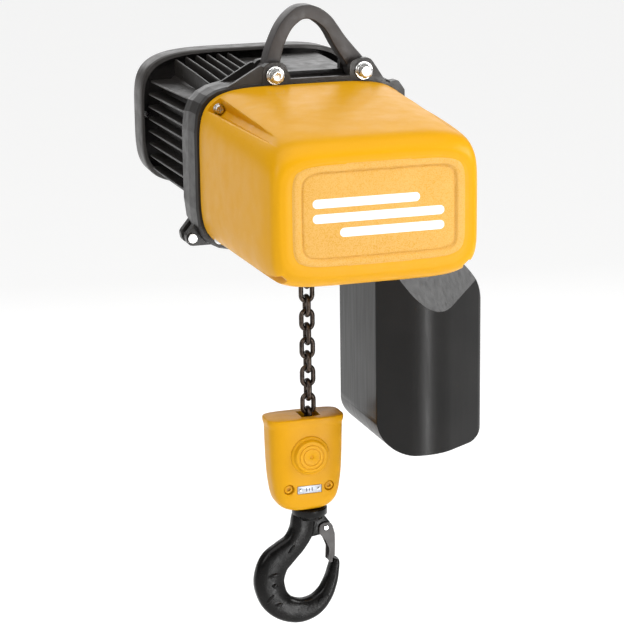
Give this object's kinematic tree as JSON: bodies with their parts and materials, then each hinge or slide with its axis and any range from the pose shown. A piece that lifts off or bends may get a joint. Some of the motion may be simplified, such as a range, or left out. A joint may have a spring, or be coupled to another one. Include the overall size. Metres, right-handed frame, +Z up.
{
  "type": "electric chain hoist",
  "caption": "Electric chain hoist with a bolted suspension eye, cast body, geared pocket wheel, motor, chain container and swivelling hook block",
  "frame": {"origin": "the point inside the top of the suspension eye that bears on the support, straight above the load chain", "axes": "+Z up, +X towards the side of the chain container, -Y towards the yellow cover and +Y along the motor towards the fan"},
  "size_m": [0.3076, 0.458, 0.6559],
  "materials": {
    "yellow_paint": "satin",
    "black_casting": "satin",
    "black_steel": "satin",
    "black_sheet": "satin",
    "black_plastic": "satin",
    "bright_zinc": "satin",
    "machined_steel": "satin",
    "bare_casting": "matte",
    "wound_steel": "matte",
    "circuit_board": "satin",
    "seal_rubber": "matte",
    "plate_metal": "satin"
  },
  "bodies": {
    "hoist": {"suspension_eye": "black_steel", "eye_bolt_left": "bright_zinc", "eye_bolt_right": "bright_zinc", "eye_nut_left": "bright_zinc", "eye_nut_right": "bright_zinc", "main_housing": "black_casting", "lug_pin": "bright_zinc", "cover_gasket": "seal_rubber", "front_cover": "yellow_paint", "cover_screw_1": "bright_zinc", "cover_screw_2": "bright_zinc", "cover_screw_3": "bright_zinc", "cover_screw_4": "bright_zinc", "motor_housing": "black_casting", "motor_end_shield": "bare_casting", "fan_cover": "black_sheet", "fan_cover_screw_left": "bright_zinc", "fan_cover_screw_right": "bright_zinc", "terminal_cover": "black_sheet", "supply_gland": "black_plastic", "control_gland": "black_plastic", "stator": "wound_steel", "motor_bearing_front": "machined_steel", "motor_bearing_rear": "machined_steel", "gear_plate": "bare_casting", "wheel_bearing_front": "machined_steel", "wheel_bearing_rear": "machined_steel", "chain_guide": "machined_steel", "brake_coil": "bare_casting", "control_board": "circuit_board", "contactor": "black_plastic", "transformer": "wound_steel", "slack_chain": "black_steel", "chain_container": "black_plastic", "container_bracket": "bright_zinc"},
    "motor_rotor": {"motor_shaft": "machined_steel", "rotor_core": "machined_steel", "motor_pinion": "machined_steel", "fan": "black_plastic", "brake_disc": "machined_steel"},
    "armature": {"brake_armature": "machined_steel"},
    "intermediate": {"intermediate_gear": "machined_steel", "intermediate_shaft": "machined_steel", "slip_clutch": "machined_steel"},
    "wheel": {"load_wheel": "machined_steel", "output_gear": "machined_steel", "wheel_chain": "black_steel"},
    "lever": {"limit_lever": "machined_steel"},
    "lower_block": {"load_chain": "black_steel", "block_front_shell": "yellow_paint", "block_rear_shell": "yellow_paint", "chain_pin": "machined_steel", "block_screw_left": "bright_zinc", "block_screw_right": "bright_zinc", "capacity_plate": "plate_metal", "thrust_bearing": "machined_steel"},
    "swivel_hook": {"hook": "black_steel", "hook_nut": "bright_zinc", "latch_pin": "bright_zinc"},
    "latch": {"hook_latch": "black_steel"}
  },
  "joints": [
    {"name": "motor_spin", "type": "hinge", "parent": "hoist", "child": "motor_rotor", "pos_m": [-0.007, 0, -0.122], "axis": [0, -1, 0], "range_deg": [0, 1548]},
    {"name": "intermediate_spin", "type": "hinge", "parent": "hoist", "child": "intermediate", "pos_m": [-0.02273, 0, -0.15604], "axis": [0, -1, 0], "range_deg": [-389, 2]},
    {"name": "load_wheel_spin", "type": "hinge", "parent": "hoist", "child": "wheel", "pos_m": [0.0242, 0, -0.176], "axis": [0, -1, 0], "range_deg": [-1, 107.4]},
    {"name": "hoist_travel", "type": "slide", "parent": "hoist", "child": "lower_block", "axis": [0, 0, -1], "range_m": [-0.0005, 0.0455]},
    {"name": "hook_swivel", "type": "hinge", "parent": "lower_block", "child": "swivel_hook", "pos_m": [0, 0, -0.512], "axis": [0, 0, 1], "continuous": true},
    {"name": "hook_latch_pivot", "type": "hinge", "parent": "swivel_hook", "child": "latch", "pos_m": [0.0159, 0, -0.5376], "axis": [0, 1, 0], "range_deg": [0, 32], "stiffness_Nm_per_rad": 0.05, "springref_deg": -17.19},
    {"name": "brake_release", "type": "slide", "parent": "hoist", "child": "armature", "axis": [0, -1, 0], "range_m": [0, 0.0005], "stiffness_N_per_m": 4000, "springref_m": -0.001},
    {"name": "limit_lever_pivot", "type": "hinge", "parent": "hoist", "child": "lever", "pos_m": [-0.0285, 0, -0.223], "axis": [0, -1, 0], "range_deg": [0, 8]}
  ],
  "couplings": [
    {"joint": "intermediate_spin", "follows": "motor_spin", "ratio": -0.25},
    {"joint": "load_wheel_spin", "follows": "motor_spin", "ratio": 0.06875},
    {"joint": "hoist_travel", "follows": "motor_spin", "m_per_rad": 0.0016638}
  ]
}
